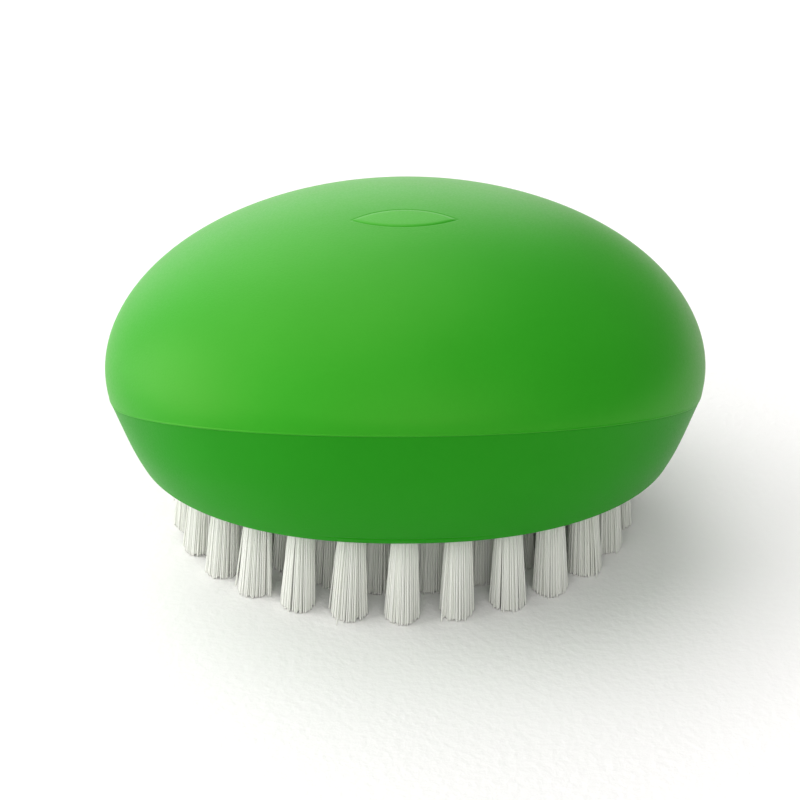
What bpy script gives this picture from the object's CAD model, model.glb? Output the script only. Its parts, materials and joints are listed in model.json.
"""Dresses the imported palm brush: a soft rubber grip, nylon filaments, finishes and a white studio."""

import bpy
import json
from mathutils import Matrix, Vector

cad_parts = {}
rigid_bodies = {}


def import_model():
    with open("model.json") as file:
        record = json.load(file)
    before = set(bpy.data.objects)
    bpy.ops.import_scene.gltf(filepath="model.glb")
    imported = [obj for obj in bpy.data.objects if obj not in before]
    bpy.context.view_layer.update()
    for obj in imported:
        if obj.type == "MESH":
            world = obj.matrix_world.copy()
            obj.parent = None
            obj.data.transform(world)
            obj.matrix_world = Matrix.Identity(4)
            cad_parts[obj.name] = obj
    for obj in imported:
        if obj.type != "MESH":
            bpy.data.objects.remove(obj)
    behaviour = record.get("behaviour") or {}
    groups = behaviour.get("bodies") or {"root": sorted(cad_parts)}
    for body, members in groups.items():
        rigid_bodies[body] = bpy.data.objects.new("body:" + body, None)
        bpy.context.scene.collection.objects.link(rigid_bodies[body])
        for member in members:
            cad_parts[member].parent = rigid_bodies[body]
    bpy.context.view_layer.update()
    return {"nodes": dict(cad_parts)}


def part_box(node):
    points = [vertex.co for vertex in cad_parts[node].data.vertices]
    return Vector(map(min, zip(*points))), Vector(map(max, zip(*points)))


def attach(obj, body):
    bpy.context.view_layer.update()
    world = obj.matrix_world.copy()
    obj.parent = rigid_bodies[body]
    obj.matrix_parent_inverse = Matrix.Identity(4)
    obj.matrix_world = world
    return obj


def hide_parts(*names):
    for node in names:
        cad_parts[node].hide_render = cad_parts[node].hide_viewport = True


bl_info = {
    "name": "Palm brush dressing",
    "version": (1, 0, 0),
    "blender": (4, 5, 0),
    "location": "View3D > Sidebar > Palm brush",
    "description": "Builds the grip, filaments, finishes and studio of a palm brush around its packed frame",
    "category": "Object",
}

import json
import math

import bpy
import numpy as np
from bpy.props import FloatProperty, FloatVectorProperty, IntProperty, PointerProperty
from mathutils import Matrix, Vector

for leftover in list(bpy.data.objects):
    bpy.data.objects.remove(leftover)
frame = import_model()
DOME_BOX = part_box("grip_dome")
SKIRT_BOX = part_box("grip_skirt")
PLATE_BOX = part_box("bristle_plate")

MM = 0.001
GOLDEN_ANGLE = math.pi * (3 - math.sqrt(5))
SEED = 7

# The solid's own pad, which its box takes in
PAD_HEIGHT = 0.35 * MM

# Grid of the dome: columns round it, rows down its outside as bands of (first share, last share, count),
# rows up its hollow, and shares across its parting face
AROUND = 384
DOME_BANDS = ((0, 0.125, 66), (0.125, 0.88, 44), (0.88, 0.985, 22), (0.985, 1, 14))
HOLLOW_ROWS = 18
DOME_FACE = (0.06, 0.3, 0.7)

# Share of the way down over which the trim of the dome's ends comes in
TRIM_EASE = 0.45

# Grid of the skirt: rows of each rounding, of the wall, of the band by the rim and of the inside, and
# shares across its parting face
ROUND_ROWS = 7
SKIRT_WALL_ROWS = 40
SKIRT_BAND_ROWS = 28
SKIRT_INNER_ROWS = 10
SKIRT_FACE = (0.3, 0.7, 0.95)

# Steps of halving that find the crease
HALVINGS = 50

# A filament's rings: their shares of its length and of its girth, and the corners of each. Then the powers
# by which it fans out and its tip falls short, and the strands of a tuft
FILAMENT_LEVELS = (0, 0.5, 0.985, 1)
FILAMENT_GIRTHS = (1, 1, 1, 0.55)
FILAMENT_CORNERS = 5
FAN_POWER = 0.9
TIP_POWER = 3
STRANDS = 6

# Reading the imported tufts: how near a tuft's end a point counts, and the triangles of one staple
END_BAND = 0.01 * MM
STAPLE_TRIANGLES = 12

# Finishes: strength of every bump, then how glossy and how bloomed the two rubbers are
BUMP_STRENGTH = 0.35
DOME_GLOSS, DOME_BLOOM = 0.32, 0.05
SKIRT_GLOSS, SKIRT_BLOOM = 0.16, 0.02

# Lamps: azimuth from the front, turning right, and elevation, in degrees
LAMPS = {"key": (270, 14), "high": (225, 64), "fill": (0, 38), "back": (195, 14)}
LAMP_ANGLE = math.radians(60)

# Camera: sensor width in millimetres, and where its view starts
SENSOR_WIDTH = 36
NEAR_CLIP = 0.01

# Rings of tufts: the nodes each one stands for, and its first tuft's turn as a share of one spacing
RINGS = {
    "outer": (sorted(name for name in frame["nodes"] if name.startswith("outer_tuft")), 0.0),
    "second": (sorted(name for name in frame["nodes"] if name.startswith("second_tuft")), 0.5),
    "third": (["third_ring_tufts"], 0.0),
    "inner": (["inner_ring_tufts"], 0.5),
    "centre": (["centre_tuft"], 0.0),
}
STAPLES = sorted(name for name in frame["nodes"] if "staple" in name)


def length(name, description, default):
    """A property that holds a length in metres."""
    return FloatProperty(name=name, description=description, default=default, precision=5,
                         unit="LENGTH")


def share(name, description, default):
    """A property that holds a share from 0 to 1."""
    return FloatProperty(name=name, description=description, default=default, min=0, max=1,
                         subtype="FACTOR")


def light(name, description, default):
    """A property that holds a lamp's strength."""
    return FloatProperty(name=name, description=description, default=default, min=0)


def colour(name, description, default):
    """A property that holds a linear colour."""
    return FloatVectorProperty(name=name, description=description, default=default, min=0, max=1,
                               subtype="COLOR")


class GripSizes(bpy.types.PropertyGroup):
    """Sizes of the soft grip."""

    dome_half_length: length("Dome half length", "Half length of the dome", DOME_BOX[1].x)
    dome_half_width: length("Dome half width", "Half width of the whole ellipsoid", 36.1 * MM)
    dome_top: length("Dome top", "Height of the dome's top under its pad", DOME_BOX[1].z - PAD_HEIGHT)
    dome_centre: length("Dome centre", "Height of the ellipsoid's centre", 25 * MM)
    dome_wall: length("Dome wall", "Thickness of the dome", 3.4 * MM)
    core_drop: length("Core drop", "How far the hollow's centre lies under the dome's", 5 * MM)
    brow: length("Crease brow", "Height of the crease at front and back", 33.8 * MM)
    valley: length("Crease valley", "Height where the crease's two slopes would meet", 19.8 * MM)
    valley_radius: length("Valley radius", "Rounding between the crease's slopes", 35 * MM)
    roll_width: length("Edge roll width", "How far the dome's soft edge reaches at front and back", 2.6 * MM)
    roll_depth: length("Edge roll depth", "How far the dome's edge tucks in at front and back", 0.62 * MM)
    end_roll_width: length("End roll width", "How far the soft edge reaches at the two ends", 7.5 * MM)
    end_roll_depth: length("End roll depth", "How far the edge tucks in at the two ends", 0.3 * MM)
    end_trim: length("End trim", "How far the dome's flanks are drawn in at the two ends", 0.06 * MM)
    end_share: share("Share at the ends", "Share of bead and overhang at the two ends", 0.3)
    bead_width: length("Bead width", "Width of the fine bead on the dome's edge", 0.11 * MM)
    bead_height: length("Bead height", "Height of that bead", 0.11 * MM)
    overhang: length("Overhang", "How far the dome's edge stands proud of the skirt", 0.08 * MM)
    parting: length("Parting", "Gap between dome and skirt", 0.03 * MM)
    rim: length("Rim", "Height of the skirt's rim", SKIRT_BOX[0].z)
    rim_half_length: length("Rim half length", "Half length of the rim", 38.3 * MM)
    rim_half_width: length("Rim half width", "Half width of the rim", 29.2 * MM)
    rim_fullness: share("Rim fullness", "How much squarer than an ellipse the rim is", 0.2)
    waist: length("Waist", "Height of the skirt's waist", 19.8 * MM)
    waist_half_length: length("Waist half length", "Half length of the waist", 40.85 * MM)
    waist_half_width: length("Waist half width", "Half width of the waist", 31.0 * MM)
    brow_half_length: length("Brow half length", "Half length of the skirt's form at the brow", 45.8 * MM)
    brow_half_width: length("Brow half width", "Half width of the skirt's form at the brow", SKIRT_BOX[1].y)
    skirt_wall: length("Skirt wall", "Thickness of the skirt", 2.6 * MM)
    skirt_blend: length("Skirt blend", "Height over which the skirt eases into the dome's edge", 9 * MM)
    edge_round: length("Edge round", "Rounding of the skirt's upper edge", 0.12 * MM)
    rim_round: length("Rim round", "Rounding of the rim", 0.25 * MM)
    lip: length("Lip", "Height of the lip over the rim", 0.85 * MM)
    groove_height: length("Groove height", "Height of the groove over the lip", 0.3 * MM)
    groove_depth: length("Groove depth", "Depth of that groove at front and back", 0.12 * MM)
    groove_reach: length("Groove reach", "How far the groove runs sideways at full depth", 8 * MM)
    groove_fade: length("Groove fade", "Length over which it then runs out", 8 * MM)
    pad_length: length("Pad length", "Length of the bare lens-shaped pad on top", 14.5 * MM)
    pad_width: length("Pad width", "Width of that pad", 5.0 * MM)
    pad_forward: length("Pad forward", "How far the pad lies in front of the dome's middle", 0.9 * MM)
    pad_height: length("Pad height", "Height of that pad", 0.09 * MM)
    pad_slope: length("Pad slope", "Width of the pad's sloping wall", 0.5 * MM)
    pad_foot: length("Pad foot", "Width and depth of the fine line round the pad", 0.07 * MM)


class FilamentSizes(bpy.types.PropertyGroup):
    """Sizes of the nylon filaments."""

    diameter: length("Diameter", "Thickness of one filament", 0.25 * MM)
    count: IntProperty(name="Count", description="Filaments in one tuft", default=210, min=1)
    crowding: share("Crowding", "Power of the spread in a tuft, 0.5 is even and less crowds its outside", 0.4)
    root_depth: length("Root depth", "How far filaments reach into their hole", 1.2 * MM)
    unevenness: length("Unevenness", "How far the shortest tips stop above the table", 0.45 * MM)
    bow: length("Bow", "Sideways bend of a filament", 0.012 * MM)
    jitter: length("Jitter", "Random spread of one tip", 0.025 * MM)
    clump: length("Clump", "Random drift of a strand of filaments", 0.13 * MM)
    lean: length("Lean", "How far all tips lean to the left", 0.5 * MM)
    stray: length("Stray", "Reach of the few filaments that stand apart", 1.0 * MM)
    stray_share: share("Stray share", "Share of filaments that stand apart", 0.025)


class BrushColours(bpy.types.PropertyGroup):
    """Colours of the brush, linear."""

    dome: colour("Dome", "Green of the dome", (0.016, 0.33, 0.009))
    dome_worn: colour("Worn dome", "Paler green where the dome is handled", (0.024, 0.365, 0.014))
    pad: colour("Pad", "Paler green of the smooth pad", (0.034, 0.38, 0.02))
    skirt: colour("Skirt", "Deeper green of the skirt", (0.009, 0.275, 0.007))
    skirt_worn: colour("Worn skirt", "Paler green of the skirt", (0.012, 0.3, 0.009))
    rubber_gloss: colour("Rubber gloss", "Tint of the grip's gloss and bloom", (1, 1, 0.4))
    nylon: colour("Nylon", "White of the filaments", (0.93, 0.935, 0.89))
    nylon_dull: colour("Dull nylon", "Greyer white of some filaments", (0.865, 0.885, 0.8))
    plate: colour("Plate", "Green of the plate", (0.02, 0.3, 0.014))
    plate_worn: colour("Worn plate", "Duller green of the plate", (0.026, 0.25, 0.02))
    core: colour("Core", "White of the core", (0.69, 0.71, 0.67))
    core_worn: colour("Worn core", "Greyer white of the core", (0.6, 0.62, 0.58))
    wire: colour("Wire", "Metal of the staples", (0.62, 0.58, 0.5))
    wire_worn: colour("Worn wire", "Duller metal of the staples", (0.42, 0.4, 0.36))
    studio: colour("Studio", "White of the studio floor", (0.98, 0.96, 0.955))
    studio_bounce: colour("Studio bounce", "White of the floor as it lights the brush",
                          (0.8, 0.79, 0.77))


class StageSettings(bpy.types.PropertyGroup):
    """Camera and light of the studio."""

    distance: length("Distance", "Camera's distance from the grip", 0.35)
    elevation: FloatProperty(name="Elevation", description="Camera's height angle",
                             default=math.radians(30.3), subtype="ANGLE")
    roll: FloatProperty(name="Roll", description="Camera's turn about its view",
                        default=math.radians(0.42), subtype="ANGLE")
    lens: FloatProperty(name="Lens", description="Focal length in millimetres", default=111.2)
    aim_height: length("Aim height", "Height of the point that the camera circles", 25 * MM)
    slide_right: length("Slide right", "How far the view's centre lies right of that point", -0.76 * MM)
    slide_up: length("Slide up", "How far the view's centre lies above that point", -5.03 * MM)
    floor_span: length("Floor span", "Length of the floor's sides", 2.4)
    sky: light("Sky", "Light of the white surround", 0.24)
    key: light("Key", "Light of the low lamp at the left", 2.6)
    high: light("High", "Light of the high lamp behind at the left", 1.35)
    fill: light("Fill", "Light of the lamp at the front", 1.1)
    back: light("Back", "Light of the low lamp behind", 1.45)


def oval_radius(direction, half_length, half_width, power=2):
    """Plan radius of an oval: (|cos / half length|^p + |sin / half width|^p)^(-1/p), an ellipse at p = 2."""
    return (np.abs(np.cos(direction) / half_length) ** power
            + np.abs(np.sin(direction) / half_width) ** power) ** (-1 / power)


def smooth_step(value):
    """Eases from 0 to 1: 3 v^2 - 2 v^3, held at both ends."""
    held = np.clip(value, 0, 1)
    return held * held * (3 - 2 * held)


def crease_height(across, grip):
    """Height of the crease: two slopes rising from the valley to the brow, joined by an arc."""
    half_height = grip.dome_top - grip.dome_centre
    reach = grip.dome_half_width * math.sqrt(1 - ((grip.brow - grip.dome_centre) / half_height) ** 2)
    slope = (grip.brow - grip.valley) / reach
    touch = grip.valley_radius * slope / math.hypot(1, slope)
    centre = grip.valley + grip.valley_radius * math.hypot(1, slope)
    arc = centre - np.sqrt(np.maximum(grip.valley_radius ** 2 - across ** 2, 0))
    return np.where(np.abs(across) < touch, arc, grip.valley + slope * np.abs(across))


def ellipsoid_cut(direction, grip, inset, centre, half_height):
    """Height where an ellipsoid drawn in from the dome meets the crease, by halving an interval.

    On a meridian the ellipsoid's plan radius at height z is R sqrt(1 - ((z - centre) / half height)^2).
    The height sought is the one that equals the crease's height at that radius times the sine.
    """
    radius = oval_radius(direction, grip.dome_half_length - inset, grip.dome_half_width - inset)
    low = np.full_like(direction, grip.rim)
    high = np.full_like(direction, min(grip.dome_top, centre + half_height))
    for _ in range(HALVINGS):
        middle = (low + high) / 2
        plan = radius * np.sqrt(np.maximum(1 - ((middle - centre) / half_height) ** 2, 0))
        above = middle > crease_height(plan * np.sin(direction), grip)
        high = np.where(above, middle, high)
        low = np.where(above, low, middle)
    return (low + high) / 2


def meridians(direction, grip, inset, centre, half_height, shares):
    """Plan radius and height on an ellipsoid's meridians, at shares of the angle from top to crease."""
    radius = oval_radius(direction, grip.dome_half_length - inset, grip.dome_half_width - inset)
    cut = ellipsoid_cut(direction, grip, inset, centre, half_height)
    lowest = np.arccos(np.clip((cut - centre) / half_height, -1, 1))
    angle = shares[:, None] * lowest
    return radius * np.sin(angle), centre + half_height * np.cos(angle)


def pad_inside(x, y, grip):
    """How far a point lies inside the lens-shaped pad, negative outside it.

    Each arc's circle has radius (length^2 + width^2) / (4 width). The lens is where both circles
    overlap, so a point's depth is that radius less its distance from the farther centre. The lens lies
    a little in front of the dome's middle.
    """
    bend = (grip.pad_length ** 2 + grip.pad_width ** 2) / (4 * grip.pad_width)
    offset = bend - grip.pad_width / 2
    return bend - np.hypot(x, np.abs(y + grip.pad_forward) + offset)


def pad_rise(inside, grip):
    """Height of the pad: a ramp up its wall, less a fine bell-shaped line at its foot."""
    ramp = np.clip(inside / grip.pad_slope, 0, 1)
    return grip.pad_height * ramp - grip.pad_foot * np.exp(-(inside / grip.pad_foot) ** 2)


def front_to_end(direction, front, end):
    """A size that goes from its value at front and back to that at the two ends with the squared sine."""
    return end + (front - end) * np.sin(direction) ** 2


def dome_outside(direction, grip):
    """Plan radius and height of the dome's outside, from its top to its edge.

    The ellipsoid is moved along its normal: out by the pad, in by a parabola of the distance to the edge
    for the soft roll, in at the ends by a squared cosine that eases in from the top, and out by a fine
    bell-shaped bead beside the edge.
    """
    half_height = grip.dome_top - grip.dome_centre
    shares = np.concatenate([np.linspace(*band)[1:] for band in DOME_BANDS])
    radius, height = meridians(direction, grip, 0, grip.dome_centre, half_height, shares)
    steps = np.hypot(np.diff(radius, axis=0), np.diff(height, axis=0))
    to_edge = np.zeros_like(radius)
    to_edge[:-1] = np.cumsum(steps[::-1], axis=0)[::-1]
    full = oval_radius(direction, grip.dome_half_length, grip.dome_half_width)
    lean_out, lean_up = radius / full ** 2, (height - grip.dome_centre) / half_height ** 2
    size = np.hypot(lean_out, lean_up)
    reach = front_to_end(direction, grip.roll_width, grip.end_roll_width)
    tuck = front_to_end(direction, grip.roll_depth, grip.end_roll_depth)
    roll = tuck * np.clip(1 - to_edge / reach, 0, 1) ** 2
    bead = grip.bead_height * np.exp(-((to_edge - grip.bead_width) / grip.bead_width) ** 2)
    bead = bead * front_to_end(direction, 1, grip.end_share)
    pad = pad_rise(pad_inside(radius * np.cos(direction), radius * np.sin(direction), grip), grip)
    trim = grip.end_trim * np.cos(direction) ** 2 * smooth_step(shares / TRIM_EASE)[:, None]
    shift = bead - roll - trim + pad
    return radius + shift * lean_out / size, height + shift * lean_up / size


def dome_section(direction, grip):
    """The dome's closed section: outside, the parting face under its edge, and the hollow up to its top."""
    outer_radius, outer_height = dome_outside(direction, grip)
    hollow_centre = grip.dome_centre - grip.core_drop
    hollow_height = grip.dome_top - hollow_centre - grip.dome_wall
    inner_radius, inner_height = meridians(direction, grip, grip.dome_wall, hollow_centre, hollow_height,
                                           np.linspace(1, 0, HOLLOW_ROWS)[:-1])
    across = np.array(DOME_FACE)[:, None]
    face_radius = outer_radius[-1] + (inner_radius[0] - outer_radius[-1]) * across
    face_height = outer_height[-1] + (inner_height[0] - outer_height[-1]) * across
    return (np.concatenate([outer_radius, face_radius, inner_radius]),
            np.concatenate([outer_height, face_height, inner_height]), hollow_centre + hollow_height)


def skirt_radius(direction, height, grip):
    """Plan radius of the skirt's form: an oval whose half axes pass through rim, waist and brow.

    Each half axis is the parabola through its three sizes, in Lagrange's form. The oval's power falls
    from the rim's fullness to an ellipse at the brow.
    """
    levels = (grip.rim, grip.waist, grip.brow)
    lengths = (grip.rim_half_length, grip.waist_half_length, grip.brow_half_length)
    widths = (grip.rim_half_width, grip.waist_half_width, grip.brow_half_width)
    half_length = 0
    half_width = 0
    for index, level in enumerate(levels):
        others = [other for other in levels if other != level]
        weight = (height - others[0]) * (height - others[1]) / ((level - others[0]) * (level - others[1]))
        half_length = half_length + weight * lengths[index]
        half_width = half_width + weight * widths[index]
    power = 2 + grip.rim_fullness * (1 - smooth_step((height - grip.rim) / (grip.brow - grip.rim)))
    return oval_radius(direction, half_length, half_width, power)


def skirt_section(direction, grip):
    """The skirt's closed section: down the outside, round the rim, up the inside, out along the parting.

    The outside is the flared form, eased into the dome's edge at its top, less a fine groove above the
    lip that runs out to the sides. The upper edge and the rim are quarter circles.
    """
    edge_radius, edge_height = (rows[-1] for rows in dome_outside(direction, grip))
    top = edge_height - grip.parting
    proud = grip.overhang * front_to_end(direction, 1, grip.end_share)
    ease = edge_radius - proud - skirt_radius(direction, top, grip)
    turn = np.linspace(0, math.pi / 2, ROUND_ROWS)[:, None]
    wall_low = grip.rim + grip.rim_round
    band = grip.rim + grip.lip + 2 * grip.groove_height
    wall_top = top - grip.edge_round
    heights = np.concatenate([
        top - grip.edge_round * (1 - np.cos(turn)),
        wall_top + (band - wall_top) * np.linspace(0, 1, SKIRT_WALL_ROWS)[1:, None],
        band + (wall_low - band) * np.linspace(0, 1, SKIRT_BAND_ROWS)[1:, None] * np.ones_like(direction),
        grip.rim + grip.rim_round * (1 - np.sin(turn[1:])) * np.ones_like(direction),
    ])
    blend = 1 - smooth_step((top - heights) / grip.skirt_blend)
    middle = grip.rim + grip.lip + grip.groove_height / 2
    sideways = np.abs(grip.rim_half_length * np.cos(direction))
    depth = grip.groove_depth * (1 - smooth_step((sideways - grip.groove_reach) / grip.groove_fade))
    groove = depth * np.exp(-(2 * (heights - middle) / grip.groove_height) ** 4)
    rounding = np.zeros_like(heights)
    rounding[:len(turn)] = grip.edge_round * (1 - np.sin(turn))
    rounding[1 - len(turn):] = grip.rim_round * (1 - np.cos(turn[1:]))
    outer = skirt_radius(direction, heights, grip) + ease * blend - groove - rounding
    inner_top = crease_height((edge_radius - grip.skirt_wall) * np.sin(direction), grip) - grip.parting
    rise = np.linspace(0, 1, SKIRT_INNER_ROWS)[:, None]
    inner_heights = grip.rim + (inner_top - grip.rim) * rise
    inner = skirt_radius(direction, inner_heights, grip) - grip.skirt_wall
    across = np.array(SKIRT_FACE)[:, None]
    face_heights = inner_heights[-1] + (heights[0] - inner_heights[-1]) * across
    face = inner[-1] + (outer[0] - inner[-1]) * across
    return np.concatenate([outer, inner, face]), np.concatenate([heights, inner_heights, face_heights])


def ring_points(direction, radius, height):
    """Points at plan radius and height in each direction: rows of (radius cos, radius sin, height)."""
    return np.stack([radius * np.cos(direction), radius * np.sin(direction), height], axis=-1)


def grid_faces(rows, columns, wrap_rows):
    """Quads of a grid that closes along its columns, and along its rows if asked, facing outwards."""
    row = np.arange(rows if wrap_rows else rows - 1)[:, None]
    column = np.arange(columns)[None, :]
    after = (row + 1) % rows * columns
    return np.stack([row * columns + column, after + column, after + (column + 1) % columns,
                     row * columns + (column + 1) % columns], axis=-1).reshape(-1, 4)


def add_piece(name, points, faces, nodes, material):
    """A smooth mesh object that rides on the brush and stands for CAD nodes."""
    mesh = bpy.data.meshes.new(name)
    mesh.from_pydata(points.reshape(-1, 3).tolist(), [], faces)
    mesh.shade_smooth()
    mesh.materials.append(material)
    piece = bpy.data.objects.new(name, mesh)
    bpy.context.scene.collection.objects.link(piece)
    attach(piece, "root")
    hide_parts(*nodes)
    return piece


def add_mask(piece, name, values):
    """A number at each vertex of a piece, for its material to read."""
    piece.data.attributes.new(name, "FLOAT", "POINT").data.foreach_set("value", values.astype(np.float32))


def level_centres(points, tufts, turn_share):
    """Centre of each tuft at one level, the middle of its points' box, and the largest radius round it.

    A point belongs to the tuft whose step round the oval is nearest to its own angle.
    """
    half = np.maximum(np.abs(points[:, :2]).max(axis=0), MM)
    angle = np.arctan2(points[:, 1] / half[1], points[:, 0] / half[0])
    owner = np.rint((angle + math.pi / 2) * tufts / (2 * math.pi) - turn_share).astype(int) % tufts
    boxes = [points[owner == index] for index in range(tufts)]
    lows = np.array([box.min(axis=0) for box in boxes])
    highs = np.array([box.max(axis=0) for box in boxes])
    centres = (lows + highs) / 2
    return centres, np.linalg.norm(points - centres[owner], axis=1).max()


def node_points(name):
    """All vertices of a CAD node."""
    mesh = frame["nodes"][name].data
    points = np.zeros(3 * len(mesh.vertices), np.float32)
    mesh.vertices.foreach_get("co", points)
    return points.reshape(-1, 3).astype(float)


def tuft_axes(nodes, turn_share):
    """Hole and tip centres of a ring's tufts, with both radii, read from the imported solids.

    Where one node holds a whole ring, its tufts are counted by their staples.
    """
    points = np.concatenate([node_points(name) for name in nodes])
    tips = points[points[:, 2] < END_BAND]
    roots = points[points[:, 2] > points[:, 2].max() - END_BAND]
    staples = {"third_ring_tufts": "third_ring_staples", "inner_ring_tufts": "inner_ring_staples"}
    tufts = len(nodes)
    if nodes[0] in staples:
        tufts = len(frame["nodes"][staples[nodes[0]]].data.polygons) // STAPLE_TRIANGLES
    root_centres, root_radius = level_centres(roots, tufts, turn_share)
    tip_centres, tip_radius = level_centres(tips, tufts, turn_share)
    return root_centres, root_radius, tip_centres, tip_radius


def filament_points(axes, sizes, draws):
    """Points and tints of all filaments of a ring of tufts.

    Roots fill their hole as a sunflower does: the distance from the middle grows with a power of the
    filament's number, which turns by the golden angle. Tips fill the wider end of the tuft alike, moved
    to the left together, by strand, by filament and, for a few, outwards. Between them a filament runs on
    a line that bends out early and bows a little, and five corners round it make its rings. The last
    ring is drawn in.
    """
    root_centres, root_radius, tip_centres, tip_radius = axes
    tufts = len(root_centres)
    number = np.arange(sizes.count)
    reach = ((number + 0.5) / sizes.count) ** sizes.crowding
    spin = draws.uniform(0, 2 * math.pi, (tufts, 1))
    turn = number * GOLDEN_ANGLE + spin
    disc = np.stack([reach * np.cos(turn), reach * np.sin(turn)], axis=-1)
    filament_radius = sizes.diameter / 2
    strand = (turn / (2 * math.pi) * STRANDS).astype(int) % STRANDS
    drift = draws.normal(0, sizes.clump, (tufts, STRANDS, 2))
    apart = draws.random((tufts, sizes.count, 1)) < sizes.stray_share
    start = root_centres[:, None, :2] + disc * (root_radius - filament_radius)
    end = tip_centres[:, None, :2] + disc * (tip_radius - filament_radius)
    end = end + np.take_along_axis(drift, strand[:, :, None], axis=1) * reach[:, None]
    end = end - np.array([sizes.lean, 0])
    end = end + draws.normal(0, sizes.jitter, end.shape)
    end = end + apart * disc * draws.random((tufts, sizes.count, 1)) * sizes.stray
    tip_height = sizes.unevenness * draws.random((tufts, sizes.count)) ** TIP_POWER
    bow = draws.normal(0, sizes.bow, end.shape)
    along = np.array(FILAMENT_LEVELS)[:, None]
    top = PLATE_BOX[0].z + sizes.root_depth
    centre = (start[:, :, None] + (end - start)[:, :, None] * along ** FAN_POWER
              + bow[:, :, None] * np.sin(math.pi * along))
    height = top + (tip_height[:, :, None] - top) * along[:, 0]
    corner = np.arange(FILAMENT_CORNERS) * 2 * math.pi / FILAMENT_CORNERS
    girth = filament_radius * np.array(FILAMENT_GIRTHS)[:, None]
    offsets = np.stack([girth * np.cos(corner), girth * np.sin(corner)], axis=-1)
    plan = centre[:, :, :, None, :] + offsets
    upright = np.broadcast_to(height[:, :, :, None, None], plan.shape[:-1] + (1,))
    tint = np.broadcast_to(draws.random((tufts, sizes.count, 1, 1)), plan.shape[:-1])
    points = np.concatenate([plan, upright], axis=-1)
    return points.reshape(-1, len(FILAMENT_LEVELS), FILAMENT_CORNERS, 3), tint.reshape(-1)


def filament_faces(filaments, rows, corners):
    """Side quads of every filament, and a flat face at each end of it."""
    first = (np.arange(filaments) * rows * corners)[:, None, None]
    sides = (first + grid_faces(rows, corners, False)).reshape(-1, 4)
    tips = first[:, :, 0] + (rows - 1) * corners + np.arange(corners)[::-1]
    roots = first[:, :, 0] + np.arange(corners)
    return sides.tolist() + tips.tolist() + roots.tolist()


def add_node(tree, kind, inputs=None, **settings):
    """A shader node with its settings, and its inputs as values or as links from other sockets."""
    made = tree.nodes.new(kind)
    for key, value in settings.items():
        setattr(made, key, value)
    for key, value in (inputs or {}).items():
        if isinstance(value, bpy.types.NodeSocket):
            tree.links.new(value, made.inputs[key])
        else:
            made.inputs[key].default_value = value
    return made


def opaque(linear):
    """A linear colour with full alpha."""
    return (*linear, 1)


def moulded_group():
    """The finish that moulded pieces share: soft mottling, faint scuffs and a fine grain.

    The colour goes from Fresh to Worn by a broad noise and by sparse stretched scuffs. A fine noise sets
    the roughness between its two limits, and is the height for a bump.
    """
    group = bpy.data.node_groups.new("moulded_finish", "ShaderNodeTree")
    sockets = (("Fresh", "INPUT", "NodeSocketColor"), ("Worn", "INPUT", "NodeSocketColor"),
               ("Mottle Scale", "INPUT", "NodeSocketFloat"), ("Grain Scale", "INPUT", "NodeSocketFloat"),
               ("Roughness Low", "INPUT", "NodeSocketFloat"), ("Roughness High", "INPUT", "NodeSocketFloat"),
               ("Color", "OUTPUT", "NodeSocketColor"), ("Roughness", "OUTPUT", "NodeSocketFloat"),
               ("Height", "OUTPUT", "NodeSocketFloat"))
    for name, way, kind in sockets:
        group.interface.new_socket(name=name, in_out=way, socket_type=kind)
    given = group.nodes.new("NodeGroupInput").outputs
    place = add_node(group, "ShaderNodeTexCoord").outputs["Object"]
    mottle = add_node(group, "ShaderNodeTexNoise",
                      {"Vector": place, "Scale": given["Mottle Scale"], "Detail": 5, "Roughness": 0.6})
    soft = add_node(group, "ShaderNodeMapRange", {"Value": mottle.outputs["Fac"], "From Min": 0.35,
                                                  "From Max": 0.75, "To Min": 0, "To Max": 0.45})
    long_way = add_node(group, "ShaderNodeMapping", {"Vector": place, "Scale": (0.35, 1, 2.2),
                                                     "Rotation": (0.3, 0.5, 0.2)})
    scuff = add_node(group, "ShaderNodeTexNoise", {"Vector": long_way.outputs["Vector"], "Scale": 420,
                                                   "Detail": 6, "Roughness": 0.7})
    sparse = add_node(group, "ShaderNodeMapRange", {"Value": scuff.outputs["Fac"], "From Min": 0.62,
                                                    "From Max": 0.8, "To Min": 0, "To Max": 0.5})
    both = add_node(group, "ShaderNodeMath", {0: soft.outputs["Result"], 1: sparse.outputs["Result"]},
                    operation="ADD", use_clamp=True)
    mixed = add_node(group, "ShaderNodeMix", {"Factor": both.outputs["Value"], 6: given["Fresh"],
                                              7: given["Worn"]}, data_type="RGBA")
    grain = add_node(group, "ShaderNodeTexNoise",
                     {"Vector": place, "Scale": given["Grain Scale"], "Detail": 3, "Roughness": 0.55})
    rough = add_node(group, "ShaderNodeMapRange", {"Value": grain.outputs["Fac"], "From Min": 0.3,
                                                   "From Max": 0.7, "To Min": given["Roughness Low"],
                                                   "To Max": given["Roughness High"]})
    add_node(group, "NodeGroupOutput", {"Color": mixed.outputs[2], "Roughness": rough.outputs["Result"],
                                        "Height": grain.outputs["Fac"]})
    return group


def new_material(name):
    """An empty node material with its Principled shader."""
    material = bpy.data.materials.new(name)
    material.use_nodes = True
    return material, material.node_tree, material.node_tree.nodes["Principled BSDF"]


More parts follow.
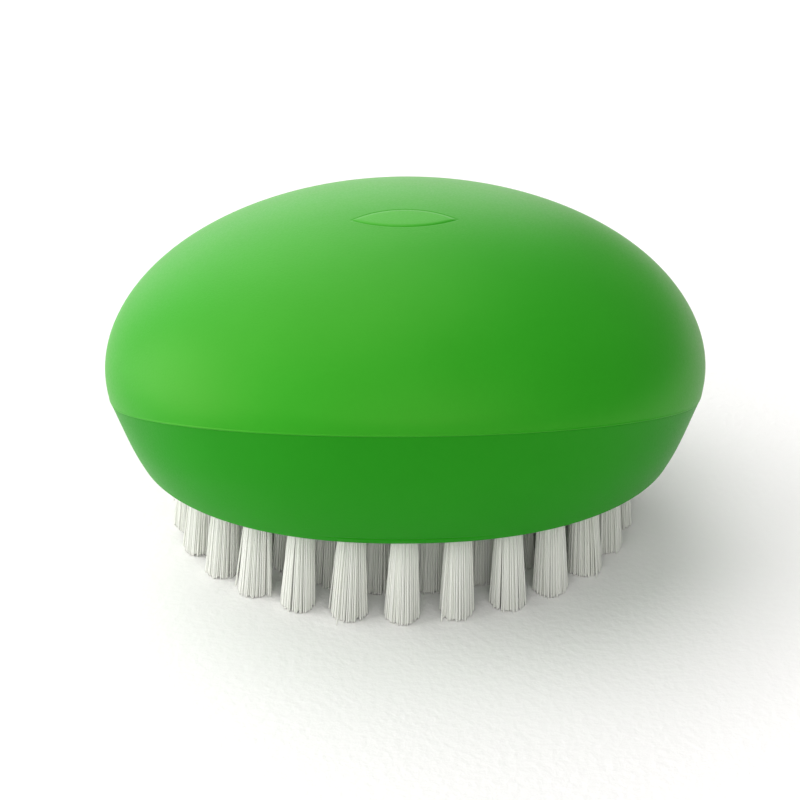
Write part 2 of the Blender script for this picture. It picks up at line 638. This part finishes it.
def moulded_material(name, fresh, worn, mottle, grain, roughness, bump):
    """A moulded finish: the shared group drives colour, roughness and a fine bump."""
    material, tree, shader = new_material(name)
    group = bpy.data.node_groups.get("moulded_finish") or moulded_group()
    finish = add_node(tree, "ShaderNodeGroup", node_tree=group)
    values = {"Fresh": opaque(fresh), "Worn": opaque(worn), "Mottle Scale": 1 / mottle,
              "Grain Scale": 1 / grain, "Roughness Low": roughness[0], "Roughness High": roughness[1]}
    for key, value in values.items():
        finish.inputs[key].default_value = value
    bumped = add_node(tree, "ShaderNodeBump", {"Height": finish.outputs["Height"],
                                               "Strength": BUMP_STRENGTH, "Distance": bump})
    tree.links.new(finish.outputs["Color"], shader.inputs["Base Color"])
    tree.links.new(finish.outputs["Roughness"], shader.inputs["Roughness"])
    tree.links.new(bumped.outputs["Normal"], shader.inputs["Normal"])
    shader.inputs["Specular IOR Level"].default_value = 0.5
    return material


def rubber_material(name, fresh, worn, gloss, gloss_level, bloom):
    """Soft-touch rubber: matte and finely grained, with a tinted gloss and a faint bloom."""
    made = moulded_material(name, fresh, worn, mottle=14 * MM, grain=0.3 * MM, roughness=(0.4, 0.5),
                            bump=0.05 * MM)
    shader = made.node_tree.nodes["Principled BSDF"]
    shader.inputs["Specular IOR Level"].default_value = gloss_level
    shader.inputs["Specular Tint"].default_value = opaque(gloss)
    shader.inputs["Sheen Weight"].default_value = bloom
    shader.inputs["Sheen Tint"].default_value = opaque(gloss)
    return made


def dome_material(colours):
    """The dome's rubber, paler on its smooth pad."""
    made = rubber_material("dome_rubber", colours.dome, colours.dome_worn, colours.rubber_gloss,
                           DOME_GLOSS, DOME_BLOOM)
    tree = made.node_tree
    shader = tree.nodes["Principled BSDF"]
    plain = shader.inputs["Base Color"].links[0].from_socket
    smooth = add_node(tree, "ShaderNodeAttribute", attribute_name="smooth_pad")
    mixed = add_node(tree, "ShaderNodeMix", {"Factor": smooth.outputs["Fac"], 6: plain,
                                             7: opaque(colours.pad)}, data_type="RGBA")
    tree.links.new(mixed.outputs[2], shader.inputs["Base Color"])
    return made


def nylon_material(colours):
    """Nylon filament: each has its own white by its tint, and fine streaks run along it."""
    material, tree, shader = new_material("white_nylon")
    tint = add_node(tree, "ShaderNodeAttribute", attribute_name="tint")
    place = add_node(tree, "ShaderNodeTexCoord").outputs["Object"]
    drawn = add_node(tree, "ShaderNodeMapping", {"Vector": place, "Scale": (1, 1, 0.06)})
    streak = add_node(tree, "ShaderNodeTexNoise", {"Vector": drawn.outputs["Vector"], "Scale": 5000,
                                                   "Detail": 2})
    amount = add_node(tree, "ShaderNodeMath", {0: tint.outputs["Fac"], 1: streak.outputs["Fac"]},
                      operation="MULTIPLY")
    mixed = add_node(tree, "ShaderNodeMix", {"Factor": amount.outputs["Value"], 6: opaque(colours.nylon),
                                             7: opaque(colours.nylon_dull)}, data_type="RGBA")
    rough = add_node(tree, "ShaderNodeMapRange", {"Value": streak.outputs["Fac"], "To Min": 0.4,
                                                  "To Max": 0.6})
    tree.links.new(mixed.outputs[2], shader.inputs["Base Color"])
    tree.links.new(rough.outputs["Result"], shader.inputs["Roughness"])
    shader.inputs["Specular IOR Level"].default_value = 0.35
    return material


def wire_material(colours):
    """Staple wire: drawn metal, streaked along its length and duller in spots."""
    material, tree, shader = new_material("staple_wire")
    place = add_node(tree, "ShaderNodeTexCoord").outputs["Object"]
    drawn = add_node(tree, "ShaderNodeMapping", {"Vector": place, "Scale": (0.1, 1, 1)})
    streak = add_node(tree, "ShaderNodeTexNoise", {"Vector": drawn.outputs["Vector"], "Scale": 9000,
                                                   "Detail": 3})
    mixed = add_node(tree, "ShaderNodeMix", {"Factor": streak.outputs["Fac"], 6: opaque(colours.wire),
                                             7: opaque(colours.wire_worn)}, data_type="RGBA")
    rough = add_node(tree, "ShaderNodeMapRange", {"Value": streak.outputs["Fac"], "To Min": 0.25,
                                                  "To Max": 0.45})
    tree.links.new(mixed.outputs[2], shader.inputs["Base Color"])
    tree.links.new(rough.outputs["Result"], shader.inputs["Roughness"])
    shader.inputs["Metallic"].default_value = 1
    return material


def dress_node(name, material):
    """Give a CAD node a finish."""
    slots = frame["nodes"][name].data.materials
    slots.clear()
    slots.append(material)


def seen_by_eye(tree):
    """1 for rays from the camera, or by way of gloss or glass, and otherwise 0."""
    path = add_node(tree, "ShaderNodeLightPath").outputs
    first = add_node(tree, "ShaderNodeMath", {0: path["Is Camera Ray"], 1: path["Is Glossy Ray"]},
                     operation="ADD", use_clamp=True)
    both = add_node(tree, "ShaderNodeMath", {0: first.outputs["Value"], 1: path["Is Transmission Ray"]},
                    operation="ADD", use_clamp=True)
    return both.outputs["Value"]


def studio_floor(stage, colours):
    """A white floor that takes the brush's shadow, paler to the eye than in the light it throws back."""
    half = stage.floor_span / 2
    mesh = bpy.data.meshes.new("studio_floor")
    corners = [(-half, -half, 0), (half, -half, 0), (half, half, 0), (-half, half, 0)]
    mesh.from_pydata(corners, [], [(0, 1, 2, 3)])
    material, tree, shader = new_material("studio_white")
    place = add_node(tree, "ShaderNodeTexCoord").outputs["Object"]
    grain = add_node(tree, "ShaderNodeTexNoise", {"Vector": place, "Scale": 900, "Detail": 3})
    bumped = add_node(tree, "ShaderNodeBump", {"Height": grain.outputs["Fac"], "Strength": BUMP_STRENGTH,
                                               "Distance": 0.35 * MM})
    white = add_node(tree, "ShaderNodeMix", {"Factor": seen_by_eye(tree), 6: opaque(colours.studio_bounce),
                                             7: opaque(colours.studio)}, data_type="RGBA")
    tree.links.new(bumped.outputs["Normal"], shader.inputs["Normal"])
    tree.links.new(white.outputs[2], shader.inputs["Base Color"])
    shader.inputs["Roughness"].default_value = 0.9
    shader.inputs["Specular IOR Level"].default_value = 0.1
    mesh.materials.append(material)
    floor = bpy.data.objects.new("studio_floor", mesh)
    bpy.context.scene.collection.objects.link(floor)


def studio_world(stage):
    """An even white surround."""
    world = bpy.data.worlds.new("studio_surround")
    world.use_nodes = True
    shader = world.node_tree.nodes["Background"]
    shader.inputs["Color"].default_value = (1, 1, 1, 1)
    shader.inputs["Strength"].default_value = stage.sky
    bpy.context.scene.world = world


def studio_lamp(name, strength, azimuth, elevation):
    """A broad soft lamp that shines the same everywhere, from an azimuth and elevation in degrees.

    Azimuth 0 is in front of the brush, and it turns to the right.
    """
    lamp = bpy.data.lights.new(name, "SUN")
    lamp.energy = strength
    lamp.angle = LAMP_ANGLE
    holder = bpy.data.objects.new(name, lamp)
    holder.rotation_euler = (math.radians(90 - elevation), 0, math.radians(azimuth))
    bpy.context.scene.collection.objects.link(holder)


def studio_camera(stage):
    """The camera in front of the brush, looking down at it, with the view's centre slid off the grip."""
    out = Vector((0, -math.cos(stage.elevation), math.sin(stage.elevation)))
    up = Vector((0, math.sin(stage.elevation), math.cos(stage.elevation)))
    circled = Vector((0, 0, stage.aim_height))
    place = circled + out * stage.distance
    aim = circled + Vector((stage.slide_right, 0, 0)) + up * stage.slide_up
    data = bpy.data.cameras.new("studio_camera")
    data.lens = stage.lens
    data.sensor_width = SENSOR_WIDTH
    data.clip_start = NEAR_CLIP
    camera = bpy.data.objects.new("studio_camera", data)
    facing = (aim - place).to_track_quat("-Z", "Y").to_matrix().to_4x4()
    camera.matrix_world = Matrix.Translation(place) @ facing @ Matrix.Rotation(-stage.roll, 4, "Z")
    bpy.context.scene.collection.objects.link(camera)
    bpy.context.scene.camera = camera


class PALMBRUSH_OT_stage(bpy.types.Operator):
    """Set up the white studio: floor, surround, lamps and camera."""

    bl_idname = "palm_brush.stage"
    bl_label = "Studio"

    def execute(self, context):
        stage = context.scene.palm_brush_stage
        context.scene.view_settings.view_transform = "Standard"
        studio_floor(stage, context.scene.palm_brush_colours)
        studio_world(stage)
        for name, (azimuth, elevation) in LAMPS.items():
            studio_lamp(f"{name}_lamp", getattr(stage, name), azimuth, elevation)
        studio_camera(stage)
        return {"FINISHED"}


class PALMBRUSH_OT_dome(bpy.types.Operator):
    """Build the grip's dome with its soft edge and bare pad."""

    bl_idname = "palm_brush.dome"
    bl_label = "Grip dome"

    def execute(self, context):
        grip = context.scene.palm_brush_grip
        direction = np.arange(AROUND) * 2 * math.pi / AROUND
        radius, height, hollow_top = dome_section(direction, grip)
        rows = len(radius)
        points = ring_points(direction, radius, height).reshape(-1, 3)
        poles = np.array([[0, 0, grip.dome_top + grip.pad_height], [0, 0, hollow_top]])
        column = np.arange(AROUND)
        after = (column + 1) % AROUND
        top = np.full(AROUND, rows * AROUND)
        last = (rows - 1) * AROUND
        faces = grid_faces(rows, AROUND, False).tolist()
        faces += np.stack([top, column, after], axis=-1).tolist()
        faces += np.stack([last + column, top + 1, last + after], axis=-1).tolist()
        points = np.concatenate([points, poles])
        piece = add_piece("dome_rubber", points, faces, ["grip_dome"],
                          dome_material(context.scene.palm_brush_colours))
        inside = pad_inside(points[:, 0], points[:, 1], grip) * (points[:, 2] > hollow_top)
        add_mask(piece, "smooth_pad", smooth_step(inside / grip.pad_slope))
        return {"FINISHED"}


class PALMBRUSH_OT_skirt(bpy.types.Operator):
    """Build the grip's skirt with its lipped rim."""

    bl_idname = "palm_brush.skirt"
    bl_label = "Grip skirt"

    def execute(self, context):
        direction = np.arange(AROUND) * 2 * math.pi / AROUND
        radius, height = skirt_section(direction, context.scene.palm_brush_grip)
        points = ring_points(direction, radius, height)
        faces = grid_faces(len(radius), AROUND, True).tolist()
        colours = context.scene.palm_brush_colours
        material = rubber_material("skirt_rubber", colours.skirt, colours.skirt_worn, colours.rubber_gloss,
                                   SKIRT_GLOSS, SKIRT_BLOOM)
        add_piece("skirt_rubber", points, faces, ["grip_skirt"], material)
        return {"FINISHED"}


class PALMBRUSH_OT_filaments(bpy.types.Operator):
    """Build the nylon filaments, ring by ring."""

    bl_idname = "palm_brush.filaments"
    bl_label = "Filaments"

    def execute(self, context):
        material = nylon_material(context.scene.palm_brush_colours)
        sizes = context.scene.palm_brush_filaments
        draws = np.random.default_rng(SEED)
        for ring, (nodes, turn_share) in RINGS.items():
            points, tint = filament_points(tuft_axes(nodes, turn_share), sizes, draws)
            faces = filament_faces(*points.shape[:3])
            piece = add_piece(f"{ring}_filaments", points, faces, nodes, material)
            add_mask(piece, "tint", tint)
        return {"FINISHED"}


class PALMBRUSH_OT_fittings(bpy.types.Operator):
    """Finish the plate, the core and the staples."""

    bl_idname = "palm_brush.fittings"
    bl_label = "Plate, core and staples"

    def execute(self, context):
        colours = context.scene.palm_brush_colours
        plate = moulded_material("plate_plastic", colours.plate, colours.plate_worn, mottle=9 * MM,
                                 grain=0.3 * MM, roughness=(0.38, 0.5), bump=0.02 * MM)
        core = moulded_material("core_plastic", colours.core, colours.core_worn, mottle=11 * MM,
                                grain=0.3 * MM, roughness=(0.42, 0.55), bump=0.02 * MM)
        dress_node("bristle_plate", plate)
        dress_node("handle_core", core)
        wire = wire_material(colours)
        for name in STAPLES:
            dress_node(name, wire)
        return {"FINISHED"}


class PALMBRUSH_PT_panel(bpy.types.Panel):
    """Lists the steps that dress the brush."""

    bl_idname = "PALMBRUSH_PT_panel"
    bl_label = "Palm brush"
    bl_space_type = "VIEW_3D"
    bl_region_type = "UI"
    bl_category = "Palm brush"

    def draw(self, context):
        for operator in OPERATORS:
            self.layout.operator(operator.bl_idname)


OPERATORS = (PALMBRUSH_OT_stage, PALMBRUSH_OT_dome, PALMBRUSH_OT_skirt, PALMBRUSH_OT_filaments,
             PALMBRUSH_OT_fittings)
SETTINGS = {"palm_brush_grip": GripSizes, "palm_brush_filaments": FilamentSizes,
            "palm_brush_colours": BrushColours, "palm_brush_stage": StageSettings}


def register():
    """Register the settings, the steps and the panel."""
    for name, kind in SETTINGS.items():
        bpy.utils.register_class(kind)
        setattr(bpy.types.Scene, name, PointerProperty(type=kind))
    for kind in (*OPERATORS, PALMBRUSH_PT_panel):
        bpy.utils.register_class(kind)


def unregister():
    """Take the panel, the steps and the settings out again."""
    for kind in (PALMBRUSH_PT_panel, *reversed(OPERATORS)):
        bpy.utils.unregister_class(kind)
    for name, kind in SETTINGS.items():
        delattr(bpy.types.Scene, name)
        bpy.utils.unregister_class(kind)


def main():
    """Run every step in order."""
    register()
    bpy.ops.palm_brush.stage()
    bpy.ops.palm_brush.dome()
    bpy.ops.palm_brush.skirt()
    bpy.ops.palm_brush.filaments()
    bpy.ops.palm_brush.fittings()


if __name__ == "__main__":
    main()
